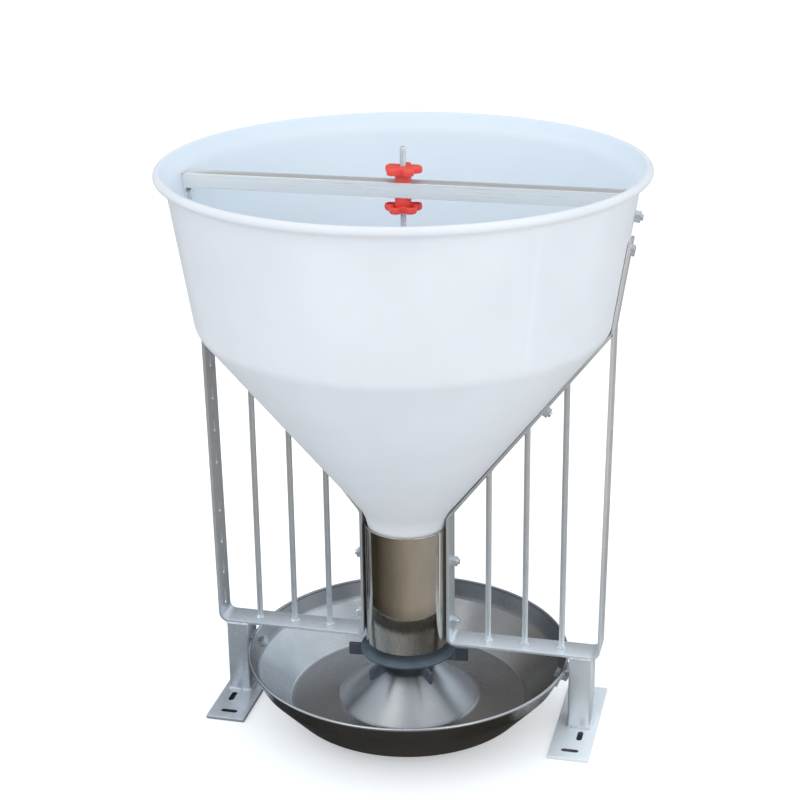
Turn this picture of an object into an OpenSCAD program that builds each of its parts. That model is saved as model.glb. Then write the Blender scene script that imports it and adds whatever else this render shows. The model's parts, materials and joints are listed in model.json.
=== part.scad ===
// Round pig feeder: an open plastic hopper over a steel feed tube, a dish pan and a bolted steel stand.
// The axis of the hopper is Z, the floor is Z = 0 and the two side panels stand in the XZ plane.

/* [Hopper] */
// Outside diameter over the rolled rim
rim_d = 800; // [760:1:840]
// Thickness of the rolled rim bead
rim_bead_d = 22; // [16:1:26]
// Thickness of the moulded wall
hopper_t = 5; // [4:0.5:7]
// Height of the steep wall, from the shoulder to the top of the rim
wall_h = 262; // [230:1:310]
// Distance that the steep wall spreads outward between the shoulder and the rim
wall_flare = 37.5; // [32:0.5:44]
// Height of the cone
cone_h = 351; // [310:1:410]
// Distance that the neck lies inside the outside of the feed tube where the cone ends
neck_step = 1; // [0:0.5:4]
// Room between the lower end of the neck and the inside of the feed tube
neck_room = 8; // [7.5:0.5:12]
// Length of neck that shows above the feed tube
neck_show = 22; // [14:1:30]
// Length of neck inside the feed tube
neck_inside = 30; // [15:1:45]

/* [Feed tube] */
// Outside diameter of the feed tube
tube_d = 148; // [130:1:175]
// Wall of the feed tube
tube_t = 2; // [1.5:0.5:2.5]
// Length of the feed tube
tube_len = 223; // [200:1:260]
// Distance that the tube hangs below the side panels
tube_drop = 3; // [0:1:8]

/* [Pan] */
// Gap between the rim of the pan and a post
pan_gap = 6; // [4:1:12]
// Thickness of the pan sheet
pan_t = 2; // [1.5:0.5:2.5]
// Height of the pan from its underside to the top of its rim
pan_h = 98; // [92:1:116]
// Clear height under the pan
pan_clear = 21; // [15:1:30]
// Distance from the rim of the pan up to the side panels
pan_rim_gap = 23; // [19:1:30]
// Distance that the wall of the pan draws in from the rim down to the lower knuckle
pan_draw = 13.5; // [12:0.5:15]
// Distance from the rim down to that knuckle
pan_knuckle_drop = 36; // [35:1:38]
// Distance from the knuckle in to the flat floor
pan_floor_inset = 56.5; // [52:0.5:60]
// Diameter at the foot of the middle cone
pan_cone_d = 248; // [220:1:290]
// Diameter of the flat top of the middle cone
pan_cone_top_d = 96; // [80:1:112]
// Height of the middle cone
pan_cone_h = 63; // [50:1:64]

/* [Feed wheel] */
// Distance that the wheel's disc stands out past the feed tube
wheel_lip = 10; // [6:1:16]
// Thickness of the disc
wheel_t = 5; // [4:0.5:7]
// Open gap between the feed tube and the disc as set
wheel_gap = 14.5; // [14:0.5:17]
// Diameter of the hub
hub_d = 40; // [30:1:50]
// Height of the hub above the disc
hub_rise = 20; // [10:1:30]
// Number of paddles
paddle_count = 6; // [4:1:8]
// Distance that a paddle stands out past the disc
paddle_out = 23; // [18:1:28]
// Distance that a paddle reaches in under the disc
paddle_in = 21; // [14:1:24]
// Height of a paddle below the disc
paddle_h = 23.5; // [18:0.5:25]
// Thickness of a paddle
paddle_t = 6; // [4:0.5:8]
// Angle of the first paddle
paddle_turn = 5; // [0:1:30]

/* [Adjusting gear] */
// Width of the crossbar
crossbar_w = 30; // [28:1:36]
// Height of the crossbar
crossbar_h = 25; // [20:1:30]
// Wall of the crossbar
crossbar_t = 2; // [1.5:0.5:2.5]
// Distance from the top of the rim down to the crossbar
crossbar_drop = 34; // [28:1:45]
// Diameter of the threaded rod
rod_d = 10; // [8:1:12]
// Length of rod above the upper knob
rod_show = 31; // [20:1:60]
// Diameter over the knob's lobes
knob_d = 63; // [54:1:74]
// Number of lobes on a knob
lobe_count = 5; // [4:1:6]
// Height of the lobes
lobe_h = 12; // [10:1:16]
// Diameter of the knob's hub
knob_hub_d = 27; // [24:1:32]
// Height of the knob's hub
knob_hub_h = 13; // [10:1:15]
// Diameter of the metal insert in a knob
insert_d = 17; // [15:1:19]

/* [Side panels] */
// Width of the flat bar
bar_w = 50; // [46:1:56]
// Thickness of the flat bar
bar_t = 5; // [4:0.5:6]
// Distance from the top of the rim down to the upper end of the bar
bar_end_drop = 112; // [106:1:118]
// Distance that the outer leg leans in from the shoulder to the floor bar
leg_lean = 7; // [0:1:10]
// Diameter of the round rods that fill a panel
fill_rod_d = 10; // [8:1:12]
// Number of round rods in a panel, evenly spaced
fill_rod_count = 3; // [2:1:3]
// Width of a slot in the outer leg
leg_slot_w = 9; // [8:0.5:11]
// Length of a slot in the outer leg
leg_slot_len = 27; // [22:1:32]
// Distance between slots
leg_slot_pitch = 60; // [50:1:62]
// Slots in each of the two groups
leg_slot_count = 4; // [3:1:4]
// Height of the first slot above the floor bar
leg_slot_first = 38; // [34:1:50]
// Distance between the first slots of the two groups
leg_group_rise = 273; // [268:1:290]

/* [Feet] */
// Distance that a post stands in from the outer leg
post_inset = 13.5; // [8:0.5:20]
// Width of a post across the panel
post_w = 40; // [34:1:46]
// Wall of a post
post_t = 3; // [2:0.5:4]
// Width of a foot plate
plate_w = 70; // [64:1:80]
// Length of a foot plate
plate_len = 250; // [230:1:280]
// Thickness of a foot plate
plate_t = 6; // [5:0.5:8]
// Distance that a foot plate sits inward of its post
plate_inset = 4; // [0:1:6]
// Width of a slot in a foot plate
foot_slot_w = 10; // [8:0.5:12]
// Length of a slot in a foot plate
foot_slot_len = 30; // [24:1:34]
// Distance from the end of a foot plate in to its crosswise slot
cross_slot_inset = 25; // [18:1:32]
// Distance between the lengthwise slots of a foot plate
long_slot_span = 100; // [90:1:115]
// Distance of the lengthwise slots outward from the middle of the plate
long_slot_shift = 10; // [0:1:14]

/* [Pan brackets] */
// Width of a bracket strap
strap_w = 30; // [26:1:36]
// Thickness of a bracket strap
strap_t = 4; // [3:0.5:5]
// Distance from the pan rim down to the top of a bracket
strap_drop = 7; // [6.5:0.5:7.5]
// Height of the pan bolt above the knuckle of the pan
pan_bolt_rise = 13; // [12.5:0.5:13.5]
// Length of the strap past the pan bolt
strap_end = 18; // [14:1:22]
// Length of the pan bolt past its nut
pan_bolt_end = 1; // [0.5:0.25:1.5]

/* [Fasteners] */
// Diameter of the bolts
bolt_d = 10; // [8:1:10]
// Distance across the flats of heads and nuts
hex_af = 17; // [16:1:18]
// Height of a bolt head
head_h = 6.4; // [5:0.1:7]
// Height of a nut
nut_h = 8; // [6:0.5:9]
// Height of the lock nut at the end of the threaded rod
lock_nut_h = 10; // [9:0.5:11]
// Outside diameter of a washer
washer_d = 20; // [19:1:22]
// Thickness of a washer
washer_t = 2; // [1.5:0.5:2.5]
// Length of bolt that stands out of a nut
bolt_end = 4; // [2:0.5:4]
// Distance from the top of the feed tube down to its upper bolts
tube_bolt_drop = 68; // [58:1:80]
// Height of the lower feed tube bolts above the floor bar
tube_bolt_rise = 36; // [30:1:50]
// Distance from the underside of the crossbar down to its bolts
crossbar_bolt_drop = 14; // [12:1:17]
// Distance from the upper end of the bar down to the panel top bolts
panel_bolt_drop = 16; // [14:1:20]

/* [Hidden] */
$fn = 96;

// Radial room between a bolt or rod and the hole it passes through
hole_clear = 0.5;
// Radial room in a threaded or running fit
thread_fit = 0.05;
// Overrun of a cut past the faces it leaves through
overrun = 1;
// Largest turn between two points of a rounded corner, in degrees
arc_step = 7.5;
// Corner radii of the moulded hopper, the pressed pan and the bent bars
neck_round = 18;
shoulder_round = 45;
rim_web_drop = 42;
pan_cone_round = 12;
pan_floor_round = 10;
pan_knuckle_round = 11;
pan_bead_d = 6;
leg_bend_round = 18;
kink_round = 20;
bar_bend_round = 14;
strap_bend_round = 7;
crossbar_bend_round = 5;
// Small bevels on the threaded rod, the wheel hub and the hex pieces
rod_bevel = 1.2;
hub_bevel = 2;
hex_bevel_share = 0.06;
// Reach of the knob's lobes and of the waist between them
lobe_d_share = 0.3;
knob_waist_share = 0.72;
// Depth of the hub below the disc of the feed wheel, and length of rod below its lock nut
hub_drop = 3;
rod_end_show = 3;
// Bevel on the edge of the feed wheel's disc
wheel_bevel = 1;
// Angles of the first lobe on the two knobs
upper_knob_turn = 18;
lower_knob_turn = 30;
// Room between the crossbar's box and its end tabs
tab_step = 8;

// Heights of the stand and the hopper, from the floor up
pan_rim_z = pan_clear + pan_h;
bar_low_z = pan_rim_z + pan_rim_gap;
bar_top_z = bar_low_z + bar_t;
post_h = bar_low_z - plate_t;
tube_low_z = bar_low_z - tube_drop;
tube_top_z = tube_low_z + tube_len;
neck_low_z = tube_top_z - neck_inside;
neck_top_z = tube_top_z + neck_show;
shoulder_z = neck_top_z + cone_h;
rim_z = shoulder_z + wall_h;
bead_z = rim_z - rim_bead_d / 2;
bar_end_z = rim_z - bar_end_drop;
crossbar_top_z = rim_z - crossbar_drop;
crossbar_low_z = crossbar_top_z - crossbar_h;
wheel_top_z = tube_low_z - wheel_gap;
wheel_low_z = wheel_top_z - wheel_t;
hub_low_z = wheel_low_z - hub_drop;
knob_h = knob_hub_h + lobe_h;

// Radii of the feed tube, the feed wheel and the hopper
tube_r = tube_d / 2;
wheel_r = tube_r + wheel_lip;
neck_top_r = tube_r - neck_step;
neck_end_r = tube_r - tube_t - neck_room;
bead_r = rim_d / 2 - rim_bead_d / 2;
bead_inner_r = rim_d / 2 - rim_bead_d;
shoulder_r = bead_inner_r + hopper_t - wall_flare;

// Leans of the hopper wall, the hopper cone and the outer leg away from upright
wall_lean = atan2(wall_flare, bead_z - shoulder_z);
cone_lean = atan2(shoulder_r - neck_top_r, cone_h);
leg_angle = atan2(leg_lean, shoulder_z - bar_low_z);

// Radius of the outside of the hopper wall and the hopper cone at a height
function wall_r(z) = shoulder_r + (z - shoulder_z) * tan(wall_lean);
function cone_r(z) = neck_top_r + (z - neck_top_z) * tan(cone_lean);
// Height of the hopper cone at a radius, and of the lower face of the slanted bar along it
function cone_z(r) = neck_top_z + (r - neck_top_r) / tan(cone_lean);
function slant_low_z(x) = cone_z(x) - bar_t / sin(cone_lean);

// Outer face of the outer leg at the shoulder, and at any height below it
leg_top_x = shoulder_r + bar_t / cos(wall_lean);
function leg_x(z) = leg_top_x - (shoulder_z - z) * tan(leg_angle);
// Places of the round rods, evenly spaced between the feed tube's bar and the outer leg
rods_from_x = tube_r + bar_t;
rods_to_x = leg_x(bar_low_z) - bar_t;
function fill_rod_x(i) = rods_from_x + (rods_to_x - rods_from_x) * (i + 1) / (fill_rod_count + 1);

// Post under the outer leg, and the pan between the posts
post_x = leg_x(bar_low_z) - post_inset - post_w / 2;
pan_wall_r = post_x - post_w / 2 - pan_gap - pan_bead_d / 2;
pan_knuckle_r = pan_wall_r - pan_draw;
pan_floor_r = pan_knuckle_r - pan_floor_inset;
pan_knuckle_z = pan_rim_z - pan_knuckle_drop;
pan_bead_z = pan_rim_z - pan_bead_d / 2;
pan_lean = atan2(pan_draw, pan_bead_z - pan_knuckle_z);
// Radius of the outside of the pan wall at a height
function pan_r(z) = pan_knuckle_r + (z - pan_knuckle_z) * tan(pan_lean);

// Heights of the bolts; the cone bolts come out midway between the two outer rods
crossbar_bolt_z = crossbar_low_z - crossbar_bolt_drop;
panel_bolt_z = bar_end_z - panel_bolt_drop;
tube_bolt_heights = [bar_low_z + tube_bolt_rise, tube_top_z - tube_bolt_drop];
pan_bolt_z = pan_knuckle_z + pan_bolt_rise;
cone_nut_x = (fill_rod_x(fill_rod_count - 2) + fill_rod_x(fill_rod_count - 1)) / 2;
cone_bolt_z = cone_z(cone_nut_x - (bar_t + washer_t + nut_h / 2) * cos(cone_lean));
hole_d = bolt_d + 2 * hole_clear;

// Width of a hex piece over its corners
hex_d = hex_af / cos(30);

// Room that a flat piece of a given width needs on the hollow side of a round wall
function hollow_gap(width, r) = width * width / (8 * r) + thread_fit;

// Places along each bolt, outward from the outside of the wall that it passes through
tab_out = -hopper_t - hollow_gap(crossbar_w, wall_r(crossbar_bolt_z) - hopper_t);
crossbar_head = tab_out - crossbar_t;
panel_washer = -hopper_t - hollow_gap(washer_d, wall_r(panel_bolt_z) - hopper_t) - washer_t;
cone_head = -hopper_t - hollow_gap(hex_d, cone_r(cone_bolt_z) - hopper_t);
tube_head = -tube_t - hollow_gap(hex_d, tube_r - tube_t);
pan_head = -pan_t - hollow_gap(hex_d, pan_r(pan_bolt_z) - pan_t);
nut_stack = washer_t + nut_h + bolt_end;

// Directions and corners of a path in a plane
function heading(path, i) = (path[i + 1] - path[i]) / norm(path[i + 1] - path[i]);
function left_of(v) = [-v[1], v[0]];
function turned(v, angle) = [v[0] * cos(angle) - v[1] * sin(angle), v[0] * sin(angle) + v[1] * cos(angle)];
function turn_at(path, i) =
    let (a = heading(path, i - 1), b = heading(path, i))
    atan2(a[0] * b[1] - a[1] * b[0], a * b);

// The same path moved to its left
function shifted(path, distance) = [
    for (i = [0 : len(path) - 1])
        let (
            a = heading(path, max(i - 1, 0)),
            b = heading(path, min(i, len(path) - 2))
        )
        path[i] + distance * (left_of(a) + left_of(b)) / (1 + a * b)
];

// Points of the arc that rounds one corner of a path
function corner_arc(path, i, radius) =
    let (
        a = heading(path, i - 1),
        turn = turn_at(path, i),
        way = sign(turn),
        start = path[i] - a * radius * tan(abs(turn) / 2),
        centre = start + left_of(a) * way * radius,
        steps = max(2, ceil(abs(turn) / arc_step))
    )
    [for (k = [0 : steps]) centre - turned(left_of(a), turn * k / steps) * way * radius];

// A path with rounded corners, one radius for each inner point
function rounded(path, radii) = [
    path[0],
    for (i = [1 : len(path) - 2]) each corner_arc(path, i, radii[i - 1]),
    path[len(path) - 1]
];

function reversed(list) = [for (i = [len(list) - 1 : -1 : 0]) list[i]];

// Outline of a sheet that follows a path, with its thickness on the path's left
function sheet(path, radii, thickness) = concat(
    rounded(path, radii),
    reversed(rounded(
        shifted(path, thickness),
        [for (i = [1 : len(path) - 2]) radii[i - 1] - thickness * sign(turn_at(path, i))]
    ))
);

// A shape drawn in X and Z, spread evenly to both sides of the panel plane
module across(width) {
    rotate([90, 0, 0]) linear_extrude(height = width, center = true) children();
}

// Children point outward along the right of the panel plane, tilted down; their +X runs down the wall
module outward(x, z, tilt) {
    translate([x, 0, z]) rotate([0, 90 + tilt, 0]) children();
}

module both_sides() {
    children();
    mirror([1, 0, 0]) children();
}

// A straight hole along the children's axis, from one place to another
module hole(from, to, d) {
    translate([0, 0, from - overrun]) cylinder(d = d, h = to - from + 2 * overrun);
}

// Hexagonal block with its corners bevelled
module hex_block(height) {
    bevel = hex_d * hex_bevel_share;
    intersection() {
        cylinder(d = hex_d, h = height, $fn = 6);
        rotate_extrude() polygon([
            [0, 0], [hex_d / 2 - bevel, 0], [hex_d / 2 + bevel, bevel],
            [hex_d / 2 + bevel, height - bevel], [hex_d / 2 - bevel, height], [0, height]
        ]);
    }
}

// Bolt whose head sits at from and whose end is at to, pointing outward
module hex_bolt(from, to) {
    translate([0, 0, from]) cylinder(d = bolt_d, h = to - from);
    translate([0, 0, from - head_h]) hex_block(head_h);
}

module hex_nut(at, height) {
    translate([0, 0, at]) difference() {
        hex_block(height);
        hole(0, height, bolt_d + 2 * thread_fit);
    }
}

module washer(at) {
    translate([0, 0, at]) difference() {
        cylinder(d = washer_d, h = washer_t);
        hole(0, washer_t, hole_d);
    }
}

// Where the bolts go: each set points outward from the wall that it holds
module at_crossbar_bolts() {
    both_sides() outward(wall_r(crossbar_bolt_z), crossbar_bolt_z, wall_lean) children();
}

module at_panel_bolts() {
    both_sides() outward(wall_r(panel_bolt_z), panel_bolt_z, wall_lean) children();
}

module at_cone_bolts() {
    both_sides() outward(cone_r(cone_bolt_z), cone_bolt_z, cone_lean) children();
}

module at_tube_bolts() {
    both_sides() for (z = tube_bolt_heights) outward(tube_r, z, 0) children();
}

module at_pan_bolts() {
    both_sides() outward(pan_r(pan_bolt_z), pan_bolt_z, pan_lean) children();
}

// Point where a line from a point touches the right of a circle
function tangent_point(point, centre, r) =
    let (reach = centre - point, d = norm(reach))
    point + turned(reach / d, -asin(r / d)) * sqrt(d * d - r * r);

module hopper() {
    path = [
        [neck_end_r, neck_low_z],
        [neck_top_r, neck_top_z],
        [shoulder_r, shoulder_z],
        [wall_r(bead_z), bead_z]
    ];
    web_start = [wall_r(rim_z - rim_web_drop), rim_z - rim_web_drop];
    color("whitesmoke") difference() {
        rotate_extrude() {
            polygon(sheet(path, [neck_round, shoulder_round], hopper_t));
            translate([bead_r, bead_z]) circle(d = rim_bead_d);
            polygon([
                web_start,
                tangent_point(web_start, [bead_r, bead_z], rim_bead_d / 2),
                [bead_r, bead_z],
                [wall_r(bead_z) - hopper_t / 2, bead_z]
            ]);
        }
        at_crossbar_bolts() hole(-hopper_t, 0, hole_d);
        at_panel_bolts() hole(-hopper_t, 0, hole_d);
        at_cone_bolts() hole(-hopper_t, 0, hole_d);
    }
}

module feed_tube() {
    color("silver") difference() {
        translate([0, 0, tube_low_z]) cylinder(d = tube_d, h = tube_len);
        translate([0, 0, tube_low_z - overrun])
            cylinder(d = tube_d - 2 * tube_t, h = tube_len + 2 * overrun);
        at_tube_bolts() hole(-2 * tube_t, 0, hole_d);
    }
}

module pan() {
    path = [
        [0, pan_clear + pan_cone_h],
        [pan_cone_top_d / 2, pan_clear + pan_cone_h],
        [pan_cone_d / 2, pan_clear],
        [pan_floor_r, pan_clear],
        [pan_knuckle_r, pan_knuckle_z],
        [pan_wall_r, pan_bead_z]
    ];
    radii = [pan_cone_round, pan_cone_round, pan_floor_round, pan_knuckle_round];
    color("dimgray") difference() {
        rotate_extrude() {
            polygon(sheet(path, radii, pan_t));
            translate([pan_wall_r, pan_bead_z]) circle(d = pan_bead_d);
        }
        at_pan_bolts() hole(-pan_t, 0, hole_d);
    }
}

// Face of the crossbar's end tab that lies along the hopper wall
function tab_x(z) = wall_r(z) + tab_out / cos(wall_lean);

module crossbar() {
    tab_bolt_z = crossbar_bolt_z - tab_out * sin(wall_lean);
    tab_end_z = tab_bolt_z - crossbar_w / 2 * cos(wall_lean);
    box_x = tab_x(crossbar_low_z) - tab_step;
    top_sheet = [
        [tab_x(tab_end_z), tab_end_z],
        [tab_x(crossbar_top_z), crossbar_top_z],
        [-tab_x(crossbar_top_z), crossbar_top_z],
        [-tab_x(tab_end_z), tab_end_z]
    ];
    color("lightsteelblue") difference() {
        union() {
            across(crossbar_w)
                polygon(sheet(top_sheet, [crossbar_bend_round, crossbar_bend_round], crossbar_t));
            translate([-box_x, -crossbar_w / 2, crossbar_low_z])
                cube([2 * box_x, crossbar_w, crossbar_h]);
        }
        translate([-box_x - overrun, crossbar_t - crossbar_w / 2, crossbar_low_z + crossbar_t])
            cube([2 * (box_x + overrun), crossbar_w - 2 * crossbar_t, crossbar_h - 2 * crossbar_t]);
        translate([0, 0, crossbar_low_z]) hole(0, crossbar_h, rod_d + 2 * hole_clear);
        at_crossbar_bolts() {
            hole(crossbar_head, tab_out, hole_d);
            translate([0, 0, crossbar_head - overrun])
                linear_extrude(height = crossbar_t + 2 * overrun) tab_corners();
        }
    }
}

// What is cut away to round the lower end of a tab
module tab_corners() {
    difference() {
        translate([0, -crossbar_w / 2 - overrun])
            square([crossbar_w / 2 + overrun, crossbar_w + 2 * overrun]);
        circle(d = crossbar_w);
    }
}

// Straight slot through a plate, long in X
module slot(length, width, depth) {
    for (end = [-1, 1])
        translate([end * (length - width) / 2, 0, 0]) cylinder(d = width, h = depth, center = true);
    cube([length - width, width, depth], center = true);
}

// Flat bar bent round the panel: up the hopper wall, down the leg, along the floor bar and up to the cone
module side_bar() {
    middle_x = (tube_r + post_x) / 2;
    outer_strip = [
        [middle_x - overrun, bar_low_z],
        [leg_x(bar_low_z), bar_low_z],
        [leg_top_x, shoulder_z],
        [wall_r(bar_end_z) + bar_t / cos(wall_lean), bar_end_z]
    ];
    inner_strip = [
        [shoulder_r, shoulder_z],
        [tube_r, cone_z(tube_r)],
        [tube_r, bar_low_z],
        [middle_x, bar_low_z]
    ];
    color("silver") difference() {
        across(bar_w) {
            polygon(sheet(outer_strip, [leg_bend_round, kink_round], bar_t));
            polygon(sheet(inner_strip, [kink_round, bar_bend_round], bar_t));
        }
        for (group = [0, 1], i = [0 : leg_slot_count - 1]) {
            z = bar_low_z + leg_slot_first + group * leg_group_rise + i * leg_slot_pitch;
            outward(leg_x(z) - bar_t / 2, z, 0) slot(leg_slot_len, leg_slot_w, bar_t + 2 * overrun);
        }
        at_panel_bolts() hole(0, bar_t, hole_d);
        at_cone_bolts() hole(0, bar_t, hole_d);
        at_tube_bolts() hole(0, bar_t, hole_d);
    }
}

module right_side_bar() side_bar();
module left_side_bar() mirror([1, 0, 0]) side_bar();

// Round rods between the floor bar and the slanted bar, cut to the slant at the top
module panel_rods() {
    color("gainsboro") for (i = [0 : fill_rod_count - 1]) {
        x = fill_rod_x(i);
        inner_x = x - fill_rod_d;
        outer_x = x + fill_rod_d;
        difference() {
            translate([x, 0, bar_top_z]) cylinder(d = fill_rod_d, h = slant_low_z(outer_x) - bar_top_z);
            across(2 * fill_rod_d) polygon([
                [inner_x, slant_low_z(inner_x)],
                [outer_x, slant_low_z(outer_x)],
                [outer_x, slant_low_z(outer_x) + fill_rod_d],
                [inner_x, slant_low_z(outer_x) + fill_rod_d]
            ]);
        }
    }
}

module right_panel_rods() panel_rods();
module left_panel_rods() mirror([1, 0, 0]) panel_rods();

// Box section post, as deep as the flat bar is wide
module post() {
    color("darkgray") translate([post_x, 0, plate_t]) difference() {
        translate([-post_w / 2, -bar_w / 2, 0]) cube([post_w, bar_w, post_h]);
        translate([post_t - post_w / 2, post_t - bar_w / 2, -overrun])
            cube([post_w - 2 * post_t, bar_w - 2 * post_t, post_h + 2 * overrun]);
    }
}

module right_post() post();
module left_post() mirror([1, 0, 0]) post();

module foot_plate() {
    color("silver") translate([post_x - plate_inset, 0, plate_t / 2]) difference() {
        cube([plate_w, plate_len, plate_t], center = true);
        for (end = [-1, 1]) {
            translate([0, end * (plate_len / 2 - cross_slot_inset), 0])
                slot(foot_slot_len, foot_slot_w, plate_t + 2 * overrun);
            translate([long_slot_shift, end * long_slot_span / 2, 0])
                rotate([0, 0, 90]) slot(foot_slot_len, foot_slot_w, plate_t + 2 * overrun);
        }
    }
}

module right_foot_plate() foot_plate();
module left_foot_plate() mirror([1, 0, 0]) foot_plate();

// Bent strap from the inner side of a post down the pan wall
module pan_bracket() {
    top_z = pan_rim_z - strap_drop;
    end_z = pan_bolt_z - strap_end;
    path = [
        [post_x - post_w / 2, top_z],
        [pan_r(top_z), top_z],
        [pan_r(end_z), end_z]
    ];
    color("silver") difference() {
        across(strap_w) polygon(sheet(path, [strap_bend_round], strap_t));
        at_pan_bolts() hole(0, strap_t, hole_d);
    }
}

module right_pan_bracket() pan_bracket();
module left_pan_bracket() mirror([1, 0, 0]) pan_bracket();

module crossbar_bolts() {
    color("gainsboro") at_crossbar_bolts() hex_bolt(crossbar_head, nut_stack);
}

module crossbar_washers() {
    color("lightgray") at_crossbar_bolts() washer(0);
}

module crossbar_nuts() {
    color("gainsboro") at_crossbar_bolts() hex_nut(washer_t, nut_h);
}

// The panel top bolts go in from outside, with their nuts inside the hopper
module panel_top_bolts() {
    color("gainsboro") at_panel_bolts() mirror([0, 0, 1]) hex_bolt(-bar_t, nut_h + bolt_end - panel_washer);
}

module panel_top_washers() {
    color("lightgray") at_panel_bolts() washer(panel_washer);
}

module panel_top_nuts() {
    color("gainsboro") at_panel_bolts() hex_nut(panel_washer - nut_h, nut_h);
}

module cone_bolts() {
    color("gainsboro") at_cone_bolts() hex_bolt(cone_head, bar_t + nut_stack);
}

module cone_washers() {
    color("lightgray") at_cone_bolts() washer(bar_t);
}

module cone_nuts() {
    color("gainsboro") at_cone_bolts() hex_nut(bar_t + washer_t, nut_h);
}

module tube_bolts() {
    color("gainsboro") at_tube_bolts() hex_bolt(tube_head, bar_t + nut_stack);
}

module tube_washers() {
    color("lightgray") at_tube_bolts() washer(bar_t);
}

module tube_nuts() {
    color("gainsboro") at_tube_bolts() hex_nut(bar_t + washer_t, nut_h);
}

module pan_bolts() {
    color("gainsboro") at_pan_bolts() hex_bolt(pan_head, strap_t + washer_t + nut_h + pan_bolt_end);
}

module pan_washers() {
    color("lightgray") at_pan_bolts() washer(strap_t);
}

module pan_nuts() {
    color("gainsboro") at_pan_bolts() hex_nut(strap_t + washer_t, nut_h);
}

// Rod with bevelled ends, from below the lock nut to above the upper knob
module threaded_rod() {
    low_z = hub_low_z - washer_t - lock_nut_h - rod_end_show;
    high_z = crossbar_top_z + knob_h + rod_show;
    color("lightgray") rotate_extrude() polygon([
        [0, low_z], [rod_d / 2 - rod_bevel, low_z], [rod_d / 2, low_z + rod_bevel],
        [rod_d / 2, high_z - rod_bevel], [rod_d / 2 - rod_bevel, high_z], [0, high_z]
    ]);
}

module rod_end_washer() {
    color("lightgray") translate([0, 0, hub_low_z - washer_t]) difference() {
        cylinder(d = washer_d, h = washer_t);
        hole(0, washer_t, rod_d + 2 * hole_clear);
    }
}

module rod_end_nut() {
    color("gainsboro") translate([0, 0, hub_low_z - washer_t - lock_nut_h]) difference() {
        hex_block(lock_nut_h);
        hole(0, lock_nut_h, rod_d + 2 * thread_fit);
    }
}

// Star knob standing on its hub
module knob(first_lobe) {
    lobe_d = knob_d * lobe_d_share;
    difference() {
        union() {
            cylinder(d = knob_hub_d, h = knob_h);
            translate([0, 0, knob_hub_h]) linear_extrude(height = lobe_h) {
                circle(d = knob_d * knob_waist_share);
                for (i = [0 : lobe_count - 1])
                    rotate(first_lobe + 360 * i / lobe_count)
                        translate([(knob_d - lobe_d) / 2, 0]) circle(d = lobe_d);
            }
        }
        hole(0, knob_h, insert_d + 2 * thread_fit);
    }
}

module knob_insert() {
    difference() {
        cylinder(d = insert_d, h = knob_h);
        hole(0, knob_h, rod_d + 2 * thread_fit);
    }
}

module upper_knob() {
    color("tomato") translate([0, 0, crossbar_top_z]) knob(upper_knob_turn);
}

module upper_knob_insert() {
    color("goldenrod") translate([0, 0, crossbar_top_z]) knob_insert();
}

module lower_knob() {
    color("tomato") translate([0, 0, crossbar_low_z]) mirror([0, 0, 1]) knob(lower_knob_turn);
}

module lower_knob_insert() {
    color("goldenrod") translate([0, 0, crossbar_low_z]) mirror([0, 0, 1]) knob_insert();
}

// Disc that closes the feed tube when it is drawn up, with paddles for the animals to push
module feed_wheel() {
    hub_high_z = wheel_top_z + hub_rise;
    color("slategray") difference() {
        union() {
            rotate_extrude() polygon([
                [0, hub_low_z], [hub_d / 2, hub_low_z], [hub_d / 2, wheel_low_z],
                [wheel_r - wheel_bevel, wheel_low_z], [wheel_r, wheel_low_z + wheel_bevel],
                [wheel_r, wheel_top_z - wheel_bevel], [wheel_r - wheel_bevel, wheel_top_z],
                [hub_d / 2, wheel_top_z], [hub_d / 2, hub_high_z - hub_bevel],
                [hub_d / 2 - hub_bevel, hub_high_z], [0, hub_high_z]
            ]);
            for (i = [0 : paddle_count - 1])
                rotate([0, 0, paddle_turn + 360 * i / paddle_count])
                    translate([wheel_r - paddle_in, -paddle_t / 2, wheel_low_z - paddle_h])
                        cube([paddle_in + paddle_out, paddle_t, paddle_h + wheel_t / 2]);
        }
        translate([0, 0, hub_low_z]) hole(0, hub_high_z - hub_low_z, rod_d + 2 * thread_fit);
    }
}

hopper();
feed_tube();
pan();
crossbar();
left_side_bar();
right_side_bar();
left_panel_rods();
right_panel_rods();
left_post();
right_post();
left_foot_plate();
right_foot_plate();
left_pan_bracket();
right_pan_bracket();
crossbar_bolts();
crossbar_washers();
crossbar_nuts();
panel_top_bolts();
panel_top_washers();
panel_top_nuts();
cone_bolts();
cone_washers();
cone_nuts();
tube_bolts();
tube_washers();
tube_nuts();
pan_bolts();
pan_washers();
pan_nuts();
threaded_rod();
rod_end_washer();
rod_end_nut();
upper_knob();
upper_knob_insert();
lower_knob();
lower_knob_insert();
feed_wheel();
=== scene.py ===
"""Looks of a round dry feeder: pieces, materials and a plain studio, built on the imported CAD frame."""

import json
import math

import bmesh
import bpy
from mathutils import Matrix, Vector, noise


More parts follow.
